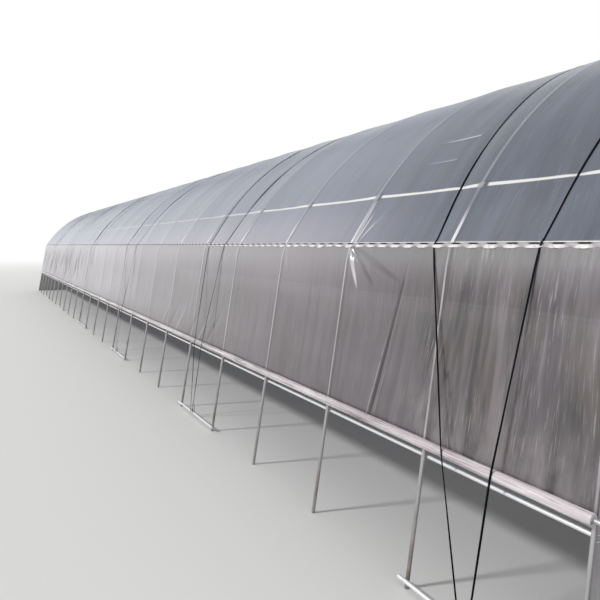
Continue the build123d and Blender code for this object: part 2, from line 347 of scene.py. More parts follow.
def columns(step, near_step):
    """The y of a film's grid lines: closer at the hoops, the straps and the front bay."""
    lines = [np.arange(-END_Y, END_Y, step)]
    lines.append(np.arange(-END_Y, -END_Y + NEAR_LENGTH, near_step))
    lines.append(np.arange(FAN_START_Y, FAN_END_Y, FAN_STEP))
    lines += [y + HOOP_LINES for y in hoop_ys()]
    for _, top_y, _, bow in strap_places():
        reach = sorted((top_y, top_y + bow))
        lines.append(np.arange(reach[0] - 0.06, reach[1] + 0.06, 0.02))
    every = np.unique(np.round(np.concatenate(lines), 4))
    every = every[(every > -END_Y) & (every < END_Y)]
    kept = every[np.concatenate([[True], np.diff(every) > CLOSEST_LINES])]
    return np.concatenate([[-END_Y - HOOP_R], kept, [END_Y + HOOP_R]])


# How films lie
def over_hoops(offset, y):
    """Lifts a film's offset to where the hoops' tubes carry it."""
    gap = within(abs(from_hoop(y)) / HOOP_R)
    return np.maximum(offset, HOOP_R * np.sqrt(1 - gap**2) + FIT)


def sag_between_hoops(y):
    share = abs(from_hoop(y)) / HOOP_SPACING
    return 4 * share * (1 - share)


def strap_press(y, lines):
    """How hard straps along lines of y press on a film: 1 at a strap and less beside it."""
    return sum(np.exp(-(((y - line) / STRAP_DENT_WIDTH) ** 2)) for line in lines)


def lip_rise(gap, radius):
    """How far a taut film stands off the hoops, at a gap from the channel's lip."""
    reach = sqrt(2 * radius * (LIP_AT - FILM_AT))
    return (LIP_AT - FILM_AT) * within(1 - gap / reach) ** 2


def into_mouth(past_lip):
    """How far the film drops once it is past the lip's inner edge."""
    return (LIP_AT - IN_CHANNEL) * within(past_lip / 0.0018)


def film_at(arcs, ys, offset, fold, loose):
    """A film's mesh, and for each point its fold, its turn to the tunnel's far end, by which the colour
    paints light and shade, and how loose it is.
    """
    x, z = outline(arcs, offset)
    slope = np.clip(-np.gradient(offset, ys[0], axis=1) / STEEP, -1, 1)
    return through(stacked(x, ys, z)), {"fold": fold.ravel(), "slope": slope.ravel(), "loose": loose.ravel()}


def with_hems(mesh, marks, hems):
    """A film with its hems, which are marked as pale as folds."""
    count = sum(len(points) for points, _ in hems)
    marks["fold"] = np.concatenate([marks["fold"], np.full(count, HEM_MARK)])
    return joined([mesh, *hems]), marks


# Roof film. Folds run from one (gap from the lip, y) place to another, with a width and a height
ROOF_FOLDS = [
    ((0.00, -10.02), (0.44, -10.03), 0.021, 0.009),
    ((0.00, -10.05), (0.32, -10.09), 0.013, 0.005),
    ((0.02, -10.09), (0.24, -10.17), 0.011, 0.003),
    ((0.10, -10.12), (0.34, -10.26), 0.012, 0.002),
    ((0.00, -9.02), (0.25, -8.97), 0.014, 0.003),
    ((0.99, -10.68), (0.99, -10.25), 0.012, 0.003),
    ((0.74, -10.62), (0.74, -10.25), 0.010, 0.002),
]


def roof_folds(arc, y):
    return lip_folds(arc, y, UPPER_LIP, -1, 7, 0.020, 0.0032, ROOF_FOLDS)


def roof_offset(arc, y):
    """How far the roof film is from the hoops' centreline."""
    above_lip = UPPER_LIP - abs(arc)
    past_lip = abs(arc) - (EAVES_ARC - LIP_INNER)
    slack = 1 - 0.5 * np.exp(-np.maximum(above_lip, 0) / 0.15)
    offset = FILM_AT - ROOF_SAG * sag_between_hoops(y) * slack
    straps = [strap_on_roof(arc, top_y, bow) for _, top_y, _, bow in strap_places()]
    offset -= STRAP_DENT * strap_press(y, straps) * slack
    near_eaves = np.exp(-np.maximum(above_lip, 0) / 0.22)
    clear = within(above_lip / 0.05)
    free = within(abs(from_hoop(y)) / 0.05)
    offset += 0.0006 * waves(3, arc, y, 1.2, 0.16) * near_eaves * clear * free
    offset += 0.0010 * waves(5, arc, y, 1.6, 0.45) * free * clear
    offset += roof_folds(arc, y) * clear
    offset += lip_rise(np.maximum(above_lip, 0), ROOF_R) * (above_lip < 1)
    return over_hoops(offset, y) - into_mouth(past_lip)


def roof_arcs():
    """The arcs of the roof film's grid lines, closer at its upper folds and the lips."""
    inner = EAVES_ARC - LIP_INNER
    half = np.linspace(0.085, UPPER_LIP - 0.42, 33).tolist()
    half += [UPPER_LIP - above + gap for above in (0.74, 0.99) for gap in (-0.02, -0.007, 0.0, 0.007, 0.02)]
    half += np.linspace(UPPER_LIP - 0.38, UPPER_LIP - 0.012, 14).tolist()
    half += [UPPER_LIP, inner, inner + 0.0009, inner + 0.0018]
    half = np.sort(half)
    return np.concatenate([-half[::-1], [0.0], half])


def roof_film():
    """The roof film's mesh, and the marks of its folds, slopes and lips, from which its colour paints light
    and shade.
    """
    arcs, ys = np.meshgrid(roof_arcs(), columns(0.08, 0.024), indexing="ij")
    above_lip = UPPER_LIP - abs(arcs)
    fold = np.clip(roof_folds(arcs, ys) / 0.004, -1, 1) * (above_lip > 0)
    # The film over the upper lip is marked pale: a painted highlight where it turns over the lip's edge.
    fold = np.where(above_lip < 0.0005, 0.5, fold)
    loose = 0.4 * np.exp(-np.maximum(above_lip, 0) / 0.5) / (1 + np.exp((ys + 10.5) / 0.12))
    return with_hems(*film_at(arcs, ys, roof_offset(arcs, ys), fold, loose), [end_hem(-1), end_hem(1)])


def end_hem(out):
    """The roof film's edge, turned down over the end wall."""
    arcs = roof_arcs()[3:-3]
    top = roof_offset(arcs, np.full_like(arcs, out * END_Y))
    wave = 0.0012 * waves(11, arcs, out * END_Y, 0.25, 1.0)
    lines = []
    for down, reach in ((0.0, 0.0), (0.001, 0.0035), (0.004, 0.0048), (0.02, 0.0055), (HEM, 0.0065)):
        x, z = outline(arcs, top - down + (wave if down == HEM else 0))
        y = out * (END_Y + HOOP_R + reach + (abs(wave) if down > 0.01 else 0))
        lines.append(stacked(x, y, z))
    return through(lines)


# Side films. Their folds are listed alike: a fan at the third hoop, a long slanting one and wrinkles
WRINKLE_YS = (-7.45, -7.20, -6.85, -6.35, -6.05, -5.70)
WRINKLE_HEIGHTS = 3 * (-0.0035, 0.0022)
SIDE_FOLDS = [
    ((0.00, -10.01), (0.34, -10.19), 0.020, 0.012),
    ((0.00, -10.03), (0.30, -10.38), 0.028, -0.012),
    ((0.00, -10.05), (0.26, -10.68), 0.030, -0.010),
    ((0.01, -10.04), (0.20, -10.52), 0.014, 0.003),
    ((1.19, -10.480), (0.02, -10.69), 0.014, -0.013),
    ((1.19, -10.448), (0.10, -10.66), 0.010, 0.0026),
    ((1.19, -10.520), (0.30, -10.68), 0.012, 0.0018),
    ((0.02, -9.05), (0.30, -9.16), 0.032, 0.0024),
    *[((1.19, y), (0.62, y - 0.45), 0.040, tall) for y, tall in zip(WRINKLE_YS, WRINKLE_HEIGHTS)],
]


def side_folds(arc, y):
    return lip_folds(arc, y, LOWER_LIP, 1, 27, 0.032, 0.0030, SIDE_FOLDS)


def looseness(y):
    """How loosely the side film hangs: slack before the second hoop, fairly tight behind it."""
    return 0.12 + 0.88 / (1 + np.exp((y + 10.85) / 0.06))


def far_slack(y):
    """How loosely the side film hangs in the tunnel's far half."""
    return 1 / (1 + np.exp((1.5 - y) / 0.8))


def side_offset(arc, y):
    """How far the side film is from the hoops' centreline."""
    below_lip = arc - LOWER_LIP
    before_lip = EAVES_ARC + LIP_INNER - arc
    share = within(below_lip / (ROLL_ARC - LOWER_LIP))
    free = within(abs(from_hoop(y)) / 0.03)
    held = within(below_lip / 0.05) * within((1 - share) / 0.06)
    offset = FILM_AT - SIDE_SAG * sag_between_hoops(y) * np.sin(pi * share) ** 0.7
    ridges = 1 - 1.4 * abs(waves(21, arc, y, 1.2, 0.11))
    pleats = 0.0024 * ridges * (0.6 + 0.4 * waves(22, arc, y, 0.9, 0.5))
    pleats *= np.exp(-((share - 0.35) / 0.45) ** 2)
    folds = 0.0036 * waves(23, arc, y, 1.0, 0.30) * np.exp(-((share - 0.75) / 0.3) ** 2)
    drapes = 0.0100 * waves(29, arc, y, 1.3, 0.55) * far_slack(y) * np.sin(pi * share) ** 0.5
    ripples = 0.0008 * waves(25, arc, y, 1.2, 0.06)
    relief = ((pleats + folds + ripples) * looseness(y) + drapes) * held * free + side_folds(arc, y) * held
    _, z = outline(arc, FILM_AT)
    press = strap_press(y, [strap_on_wall(z, top_y, foot_y) for _, top_y, foot_y, _ in strap_places()])
    relief *= 1 - np.minimum(press, 1) * within((0.5 - share) / 0.2)
    offset += relief - STRAP_DENT * press * held * within((0.35 - share) / 0.3)
    offset += lip_rise(np.maximum(below_lip, 0), BEND_R)
    return over_hoops(offset, y) - into_mouth(before_lip)


def side_arcs():
    inner = EAVES_ARC + LIP_INNER
    at_lip = [inner - 0.0018, inner - 0.0009, inner, LOWER_LIP]
    bend = np.linspace(LOWER_LIP + 0.012, LOWER_LIP + 0.36, 24)
    return np.concatenate([at_lip, bend, np.linspace(LOWER_LIP + 0.39, ROLL_ARC, 22)])


def side_film():
    """The left side film's mesh and marks."""
    arcs, ys = np.meshgrid(side_arcs(), columns(0.025, 0.0125), indexing="ij")
    below_lip = arcs - LOWER_LIP
    fold = np.clip(side_folds(arcs, ys) / 0.006, -1, 1) * within(below_lip / 0.01)
    share = below_lip / (ROLL_ARC - EAVES_ARC)
    loose = looseness(ys) * np.exp(-(((share - 0.5) / 0.56) ** 4))
    return film_at(arcs, ys, side_offset(arcs, ys), fold, loose)


# Hem rolls
def hem_roll():
    """Many turns of film round the pipe, creased along it, with the turns showing at the ends."""
    ys = np.linspace(-END_Y - HOOP_R, END_Y + HOOP_R, 640)
    y, turn = np.meshgrid(ys, np.linspace(0, 2 * pi, 28, endpoint=False), indexing="ij")
    size = ROLL_R * (0.985 + 0.012 * waves(31, 0.3 * turn, y, 1.0, 0.35) + 0.010 * np.cos(2 * turn + 1.3 * y))
    size += 0.0008 * np.cos(turn * 5 + 9 * y + 2 * waves(33, turn, y, 9.0, 0.8))
    size -= 0.0012 * within(waves(35, 0.5 * turn, y, 1.0, 0.22) - 0.5)
    size = np.minimum(size, ROLL_R * 1.02)
    outside = stacked(ROLL_CENTRE[0] + size * np.cos(turn), y, ROLL_CENTRE[1] + size * np.sin(turn))
    return joined([through(outside, closed=True), roll_end(-1, size[0]), roll_end(1, size[-1])])


def roll_end(out, size):
    """The film's turns, seen from the end: a spiral of steps from the pipe out to the roll."""
    inner = PURLIN_R + 0.0006
    turns = np.linspace(0, 2 * pi, len(size), endpoint=False)
    lines = []
    for layer in range(13):
        radius = inner + (size - inner) * layer / 12
        step = 0.0022 * ((layer + turns / (2 * pi)) % 2 > 1) * (layer < 12)
        x = ROLL_CENTRE[0] + radius * np.cos(turns)
        z = ROLL_CENTRE[1] + radius * np.sin(turns)
        lines.append(stacked(x, out * (END_Y + HOOP_R - step), z))
    return through(lines, closed=True)


# Film locks
WIRE_R = 0.0012
WIRE_PERIOD = 0.13
WIRE_START = -END_Y - 0.01
WIRE_BEND = 0.014
TAIL_DROP = 0.009
TAIL_STEP = 0.0115
TIDIER_FROM_Y = -9.2
TIDIER_TO_Y = -6.4


def lock_spring():
    """The zigzag wire that presses the films into the channel and is held under its lips."""
    half = CHANNEL_HALF - 0.0022
    across, ys = [], []
    for index in range(int(-2 * WIRE_START / (WIRE_PERIOD / 2))):
        y = WIRE_START + index * WIRE_PERIOD / 2
        across += [half if index % 2 else -half] * 2
        ys += [y, y + WIRE_BEND]
    x, z = outline(EAVES_ARC + np.array(across), CHANNEL_TOP - 0.0032)
    return swept(stacked(x, ys, z), ring(WIRE_R, 6), (-sin(EAVES_TURN), 0, cos(EAVES_TURN)))


def along_lock():
    """Places along the lock, and each one's distance from the wire's upper bends: 0 at one, 1 halfway."""
    ys = np.arange(-END_Y - 0.008, END_Y + 0.008, TAIL_STEP)
    phase = (ys - WIRE_START - WIRE_BEND / 2) / WIRE_PERIOD
    return ys, abs(np.sin(pi * phase))


def lock_film(rows, held):
    """A film in the lock, by lines along it, each with its place across and height above the lips."""
    ys, _ = along_lock()
    lines = []
    for across, away in rows:
        x, z = outline(EAVES_ARC + across, CHANNEL_TOP + away)
        lines.append(stacked(x, ys, z))
    return through(lines), {"held": np.tile(held, len(rows))}


def film_tucks():
    """The films pressed down in the channel, and the marks of where the wire holds them up, which the colour
    paints lit.
    """
    ys, between = along_lock()
    deep = -CHANNEL_DEPTH + 0.0022 + 0.0005 * waves(47, 0, ys, 1.0, 0.06)
    rows = [
        (-LIP_INNER + 0.0002, -0.0006),
        (-LIP_INNER + 0.0012 + 0.0008 * between, -0.0035),
        (-LIP_INNER + 0.0026, deep),
        (-0.0040, deep + 0.0004),
        (0.0012, deep + 0.0012),
    ]
    return lock_film(rows, within((0.80 - between) / 0.25))


def film_tails():
    """The films' cut edges, which hang over the lower lip between the wire's bends, less so far back."""
    ys, between = along_lock()
    tidy = within((ys - TIDIER_FROM_Y) / (TIDIER_TO_Y - TIDIER_FROM_Y))
    scallop = within((between - 0.3) / 0.6) ** 0.8 * (1 - 0.72 * tidy)
    uneven = 1 + 0.42 * waves(41, 0, ys, 1.0, 0.5)
    drop = TAIL_DROP * (0.12 + 0.88 * scallop * uneven)
    puff = 0.0042 * scallop * (0.8 + 0.2 * waves(43, 0, ys, 1.0, 0.11))
    past_lip = CHANNEL_HALF + 0.001
    rows = [
        (0.0008 - 0.0006 * scallop, -CHANNEL_DEPTH + 0.0030),
        (0.0022 - 0.0022 * scallop, -0.0045 + 0.4 * puff),
        (0.0062 - 0.0028 * scallop, -0.0016 + puff),
        (LIP_INNER, 0.0010 + puff),
        (past_lip, 0.0016 + 0.9 * puff),
    ]
    for share in (0.3, 0.65, 1.0):
        ruffle = 0.0016 * waves(45, share, ys, 2.0, 0.045) * share
        rows.append((past_lip + drop * share, 0.0012 + 0.8 * puff * (1 - 0.3 * share) + ruffle))
    return lock_film(rows, 1 - scallop)


# Straps
TAPE_THICKNESS = 0.0009
TAPE_STEP = 0.012
OVER_FILM = TAPE_THICKNESS + 0.0006


def tape(path, away, twist):
    """Flat tape along a path, its broad sides facing away and back."""
    half = STRAP_WIDTH / 2
    thick = TAPE_THICKNESS / 2
    return swept(path, [(-half, -thick), (half, -thick), (half, thick), (-half, thick)], away, twist)


def tape_twist(seed, places):
    """Angles by which a tape turns over along its length."""
    chance = np.random.default_rng(seed)
    first = np.cos(places * chance.uniform(0.9, 1.4) + chance.uniform(0, 6))
    second = np.cos(places * chance.uniform(2.0, 3.2) + chance.uniform(0, 6))
    return 0.9 * first * second + 0.35 * second


def roof_tape(seed, top_y, bow):
    arcs = np.linspace(-LOWER_LIP, LOWER_LIP, 240)
    ys = strap_on_roof(arcs, top_y, bow)
    on_film = roof_offset(np.clip(arcs, 0.03 - LOWER_LIP, LOWER_LIP - 0.03), ys)
    below = np.where(abs(arcs) > UPPER_LIP - 0.002, LIP_AT, on_film)
    twist = 0.55 * tape_twist(seed, arcs) * within((LOWER_LIP - abs(arcs)) / 0.25)
    x, z = outline(arcs, below + TAPE_THICKNESS + STRAP_WIDTH / 2 * abs(np.sin(twist)))
    path = stacked(x, ys, z)
    return tape(path, path * (1, 0, 1) - (0, 0, ROOF_Z), twist)


def turns_in(first, middle, last):
    """Whether the middle point lies inside the straight line from the first to the last."""
    ax, az = middle[0] - first[0], middle[1] - first[1]
    bx, bz = last[0] - first[0], last[1] - first[1]
    return ax * bz - az * bx <= 0


def taut_over(points):
    """The line of a strap pulled over points on its inner side, from the top down."""
    held = []
    for point in sorted(points, key=lambda place: -place[1]):
        while len(held) > 1 and turns_in(held[-2], held[-1], point):
            held.pop()
        held.append(point)
    return held


def circle(centre, radius, start_deg, end_deg, count):
    turns = np.radians(np.linspace(start_deg, end_deg, count))
    return [(centre[0] + radius * cos(turn), centre[1] + radius * sin(turn)) for turn in turns]


def wall_tape(seed, top_y, foot_y):
    """A strap from the channel over the film's bend and the roll to its loop round the bar."""
    on_lip = LIP_AT + TAPE_THICKNESS
    bar_r = ANCHOR_R + TAPE_THICKNESS
    bend = [outline(arc, FILM_AT + OVER_FILM) for arc in np.linspace(EAVES_ARC + 0.05, BEND_END_ARC, 8)]
    roll = circle(ROLL_CENTRE, ROLL_R + OVER_FILM, 150, 200, 13)
    bar = circle(ANCHOR_CENTRE, bar_r, 150, 182, 9)
    line = taut_over([outline(LOWER_LIP, on_lip), *bend, *roll, *bar])
    line = [outline(EAVES_ARC + LIP_INNER, on_lip), *line]
    loop = circle(ANCHOR_CENTRE, bar_r, 182, 352, 22)
    end_x, end_z = loop[-1]
    tail = [(end_x + 0.0012, end_z + STRAP_TAIL * share) for share in (0.1, 0.25, 0.5, 0.75, 1.0)]
    x, z = np.array(line + loop[1:] + tail, float).T
    ys = strap_on_wall(z, top_y, foot_y)
    ys[len(line):] = foot_y
    path = resampled(stacked(x, ys, z), TAPE_STEP)
    far = np.linspace(0, 1, len(path))
    length = TAPE_STEP * len(path)
    straight = within(far / 0.12) * within((0.86 - far) / 0.1)
    twist = 0.25 * tape_twist(seed, far * length * 1.7) * straight
    away = np.tile((-cos(LEAN), 0, sin(LEAN)), (len(path), 1))
    round_bar = far > 1 - (STRAP_TAIL + 0.05) / length
    away[round_bar] = (path[round_bar] - (ANCHOR_CENTRE[0], 0, ANCHOR_CENTRE[1])) * (1, 0, 1)
    away[far > 1 - STRAP_TAIL / length] = (1, 0, 0)
    return tape(path, away, twist)


def strap_tapes(bay):
    tapes = []
    for index, (owner, top_y, foot_y, bow) in enumerate(strap_places()):
        if owner == bay:
            tapes.append(roof_tape(100 + index, top_y, bow))
            tapes.append(wall_tape(200 + index, top_y, foot_y))
            tapes.append(mirrored(wall_tape(300 + index, top_y, foot_y)))
    return joined(tapes)


# Wire clips and ties
CLIP_WIRE_R = 0.0014
TIE_WIRE_R = 0.0011
TIE_STEP = 0.0032


def clip_at(place, turn):
    """A spring clip that holds a long tube, at its place in the section, to the hoop outside it."""
    centre = (place[0], 0, place[1])
    directions = ((-cos(turn), 0, -sin(turn)), (-sin(turn), 0, cos(turn)), (0, 1, 0))
    reach = PURLIN_R + CLIP_WIRE_R + 0.0002
    wide = reach * 1.15
    level = SKIN + PURLIN_R
    beside = HOOP_R + CLIP_WIRE_R + 0.0004
    turns = np.radians(np.linspace(0, -180, 11))
    wires = []
    for side in (-1, 1):
        hook = [(wide, level + 0.006, side * beside * 0.72), (wide, level + 0.001, side * beside)]
        under = [(reach * cos(turn), reach * sin(turn), side * (beside + 0.001)) for turn in turns]
        back = [(-along, up, across) for along, up, across in hook[::-1]]
        path = centre + np.array(hook + under + back) @ directions
        wires.append(swept(path, ring(CLIP_WIRE_R, 6), (0, 1, 0)))
    return joined(wires)


def purlin_clips():
    """One clip wherever a hoop crosses a purlin or a low rail."""
    inside = -SKIN - PURLIN_R
    haunch = EAVES_ARC - HAUNCH_ARC
    ridge = clip_at(outline(0.0, inside), 0.0)
    left = [clip_at(outline(haunch, inside), haunch / ROOF_R), clip_at(off_leg(LOW_RAIL_Z, inside), LEG_TURN)]
    return repeated(joined([ridge, *left, *map(mirrored, left)]), hoop_ys())


def anchor_ties():
    """Turns of binding wire that hold each anchor bar to its two legs."""
    places = np.linspace(0, 2 * pi, 21)
    near = -HOOP_R - 0.0016
    far = SKIN + 2 * ANCHOR_R + 0.0012
    x, z = off_leg(ANCHOR_Z, (near + far) / 2 + np.sin(places) * (far - near) / 2)
    beside = np.cos(places) * (HOOP_R + 0.0016) * (1.25 - 0.25 * abs(np.sin(places)))
    lines = [stacked(x, beside, z + lift) for lift in (-TIE_STEP, 0, TIE_STEP)]
    tie = joined([swept(line, ring(TIE_WIRE_R, 5), (0, 0, 1)) for line in lines])
    legs = [-END_Y + bay * BAY + hoop for bay in range(BAYS) for hoop in (0, HOOP_SPACING)]
    return repeated(joined([tie, mirrored(tie)]), legs)


# End walls. Folds run from one (x, z) place to another, with a width and a height
GABLE_FOLDS = [
    ((-0.93, 2.00), (-1.55, 2.62), 0.050, 0.008),
    ((-0.93, 1.96), (-1.70, 2.05), 0.045, -0.007),
    ((-0.93, 1.90), (-1.45, 1.42), 0.050, 0.006),
    ((-2.70, 1.75), (-2.05, 1.20), 0.060, 0.007),
    ((-2.62, 2.05), (-1.75, 1.75), 0.055, -0.007),
    ((-2.98, 0.20), (-2.35, 0.80), 0.050, 0.006),
    ((-0.95, 0.15), (-1.45, 0.70), 0.045, 0.005),
]
ABOVE_GROUND = 0.001
GABLE_LOOSE = 0.5


def gable_edge(share):
    """A place on the end film's outer edge, from the foot up to above the door's side."""
    top_arc = ROOF_R * asin(DOOR_HALF / (ROOF_R + HOOP_R))
    foot_arc = leg_arc(0.0) + HOOP_R * tan(LEAN)
    return outline(foot_arc + (top_arc - foot_arc) * share, HOOP_R)


def gable_side(out):
    """The end film left of the doorway, slack between its edges and folded at its corners."""
    share, across = np.meshgrid(np.linspace(0, 1, 150), np.linspace(0, 1, 110), indexing="ij")
    edge_x, edge_z = gable_edge(share)
    inner_z = share**0.85 * gable_edge(1.0)[1]
    x = -DOOR_HALF + (edge_x + DOOR_HALF) * across
    z = np.maximum(inner_z + (edge_z - inner_z) * across, ABOVE_GROUND)
    slack = np.sin(pi * across) * np.sin(pi * (share * 0.96 + 0.02))
    wave = 0.006 * slack * waves(61 + out, x, z, 1.6, 1.1) + 0.0012 * slack * waves(62 + out, x, z, 0.35, 0.3)
    folds = sum(crease(x, z, *fold) for fold in GABLE_FOLDS) * within(slack / 0.15)
    y = out * (END_Y + SKIN + 0.0012 + np.maximum(wave + folds, -0.001))
    marks = {"fold": np.clip(folds / 0.026, -1, 1).ravel(), "loose": np.full(x.size, GABLE_LOOSE)}
    return with_hems(through(stacked(x, y, z)), marks, [door_hem(out)])


def door_hem(out):
    """The end film's doubled edge along the doorway."""
    zs = np.linspace(ABOVE_GROUND, gable_edge(1.0)[1] - 0.03, 60)
    wave = 0.0006 * waves(71, 0, zs, 1.0, 0.2)
    rows = ((0.0, 0.0012), (0.0, 0.0028), (0.012, 0.0032), (0.030, 0.0030), (HEM, 0.0016))
    at = out * (END_Y + SKIN + wave)
    return through([stacked(-DOOR_HALF - inward, at + out * away, zs) for inward, away in rows])


def gable_over_door(out):
    """The end film above the door's head."""
    side, up = np.meshgrid(np.linspace(-1, 1, 50), np.linspace(0, 1, 36), indexing="ij")
    x = side * (DOOR_HALF - FIT)
    top = ROOF_Z + np.sqrt((ROOF_R + HOOP_R) ** 2 - x**2)
    z = DOOR_HEAD_Z + (top - DOOR_HEAD_Z) * up
    slack = np.sin(pi * (side + 1) / 2) * np.sin(pi * up)
    wave = 0.005 * slack * waves(65 + out, x, z, 1.3, 0.9)
    y = out * (END_Y + SKIN + 0.0010 + np.maximum(wave, -0.001))
    return through(stacked(x, y, z)), {"loose": np.full(x.size, GABLE_LOOSE)}


# Finishes. Colours are red, green and blue
class Nodes:
    """The shader nodes of a tree. Their inputs are constants or other nodes' sockets."""

    def __init__(self, tree):
        self.tree = tree

    def put(self, value, socket):
        """Links a node's socket to another, or sets it to a constant."""
        if isinstance(value, bpy.types.NodeSocket):
            self.tree.links.new(value, socket)
        else:
            socket.default_value = (*value, 1) if socket.type == "RGBA" else value

    def add(self, kind, inputs, output, **settings):
        """The output of a new node with the given inputs and settings."""
        node = self.tree.nodes.new("ShaderNode" + kind)
        for name, value in settings.items():
            setattr(node, name, value)
        for key, value in inputs.items():
            self.put(value, node.inputs[key])
        return node.outputs[output]

    def math(self, operation, first, second=0):
        return self.add("Math", {0: first, 1: second}, 0, operation=operation)

    def times(self, first, second):
        return self.math("MULTIPLY", first, second)

    def ramp(self, value, low, high, to_low, to_high, kind="LINEAR"):
        """A value's place between two limits, as a place between two others."""
        inputs = {"Value": value, "From Min": low, "From Max": high, "To Min": to_low, "To Max": to_high}
        return self.add("MapRange", inputs, "Result", interpolation_type=kind)

    def ease(self, *value_and_limits):
        """The same, with a soft start and end."""
        return self.ramp(*value_and_limits, kind="SMOOTHSTEP")


class Look(Nodes):
    """A material of one principled shader, whose colour is built up in layers."""

    def __init__(self, name, colour, **constants):
        self.material = bpy.data.materials.new(name)
        self.material.use_nodes = True
        super().__init__(self.material.node_tree)
        self.shader = self.tree.nodes["Principled BSDF"]
        self.place = self.add("TexCoord", {}, "Object")
        self.colour = colour
        for key, value in constants.items():
            self.give(key.replace("_", " "), value)

    def give(self, key, value):
        self.put(value, self.shader.inputs[key])

    def axis(self, name):
        return self.add("SeparateXYZ", {0: self.place}, name)

    def mark(self, name):
        """A value that the mesh's points carry."""
        return self.add("Attribute", {}, "Fac", attribute_name=name)

    def off_hoops(self, ahead=0):
        """The distance along the tunnel to the nearest hoop, or to a line that far before it."""
        return self.math("PINGPONG", self.math("ADD", self.axis("Y"), ahead), HOOP_SPACING / 2)

    def noise(self, stretch, detail=4, roughness=0.55, distortion=0, place=None):
        """Noise with its own scale along x, y and z."""
        mapped = self.add("Mapping", {"Vector": place or self.place, "Scale": stretch}, "Vector")
        inputs = {"Vector": mapped, "Scale": 1, "Detail": detail}
        return self.add("TexNoise", inputs | {"Roughness": roughness, "Distortion": distortion}, "Fac")

    def layer(self, share, colour):
        """Covers a share of the look with a colour."""
        self.colour = self.add("Mix", {0: share, 6: self.colour, 7: colour}, 2, data_type="RGBA")

    def rough(self, grain, low, high, span=(0.3, 0.7)):
        self.give("Roughness", self.ramp(grain, *span, low, high))

    def bumped(self, height, strength, distance):
        inputs = {"Height": height, "Strength": strength, "Distance": distance}
        self.give("Normal", self.add("Bump", inputs, "Normal"))

    def done(self):
        self.give("Base Color", self.colour)
        return self.material


def tinted(base, share):
    """A colour times a number."""
    return tuple(share * value for value in base)


def galvanised(name, bright, metallic=0.55, soiled_shaded_feet=False):
    """Zinc-coated steel: pale spangle, uneven sheen and, on the legs, brown earth at the foot with painted
    shade that darkens them up to 0.8 m.
    """
    look = Look(name, tinted((0.8, 0.82, 0.84), bright), Metallic=metallic)
    spangle = look.add("TexVoronoi", {"Vector": look.place, "Scale": 130}, "Distance")
    patches = look.noise((9, 9, 9), 5)
    fine = look.noise((160, 60, 160), 3)
    look.layer(patches, (bright,) * 3)
    look.layer(look.ramp(spangle, 0, 0.7, 0.25, 0), (0.7 * bright,) * 3)
    if soiled_shaded_feet:
        # Brown earth and painted shade: the legs darker and browner towards the foot, up to 0.8 m above the
        # ground.
        soil_and_shade = look.ease(look.axis("Z"), 0.02, 0.8, 1.25, 0.35)
        look.layer(look.times(soil_and_shade, patches), (0.15, 0.105, 0.085))
    look.rough(fine, 0.28, 0.52, (0.2, 0.8))
    look.bumped(fine, 0.12, 0.001)
    return look.done()


ROOF_ALPHA = 0.92
SIDE_ALPHA = 0.965
END_ALPHA = 0.86
GLINT = (0.78, 0.77, 0.78)
# Brown staining, partly a painted reflection of the ground below.
STAIN_AND_SOIL_REFLECTION = (0.118, 0.098, 0.074)
COOL = (0.72, 0.81, 1)
WARM = (0.95, 0.9, 1)
HOOP_LINE_SHARE = 0.85
# Where painted reflection makes the films paler towards the far end.
PAINTED_GLARE_YS = (-10.9, -9)
PURLIN_FADE_YS = (-9.5, -6)


def film(name, alpha, base, pale, sheen, streak, relief):
    """Clear film that has hazed, with dust streaks and condensation, and painted light and shade: lighter
    slopes that face the far end, darker ones that face away, painted shade in fold hollows, and pale fold
    ridges, partly stress whitening and partly painted glints.
    """
    look = Look(name, base, Alpha=alpha, IOR=1.5, Coat_Weight=1, Coat_Roughness=0.08,
                Sheen_Weight=1, Sheen_Roughness=0.26, Sheen_Tint=sheen)
    # The colour of painted shade: on slopes turned away from the far end, beside the hoops and round the
    # purlin.
    look.dark = tinted(base, 0.55)
    clouds = look.noise((0.7, 0.5, 0.7), 3)
    look.layer(look.ease(clouds, 0.35, 0.65, 0, 1), pale)
    streaks = streaks_and_painted_fold_light(look, base, streak)
    # Painted light and shade by slopes: lighter where the film turns to the far end and the sun, darker where
    # it turns away.
    slope = look.mark("slope")
    look.layer(look.ramp(slope, 0.05, 1, 0, 0.8 * relief), tinted(base, 2.1))
    look.layer(look.ramp(slope, -1, -0.05, relief, 0), look.dark)
    # Painted shade in fold hollows, and pale fold ridges: partly stress whitening, partly painted glints.
    fold = look.mark("fold")
    look.layer(look.ramp(fold, -0.8, -0.1, 0.95, 0), tinted(base, 0.22))
    look.layer(look.ramp(fold, 0.15, 0.75, 0, 0.9), GLINT)
    look.rough(clouds, 0.24, 0.42)
    look.bumped(streaks, 0.35, 0.004)
    return look


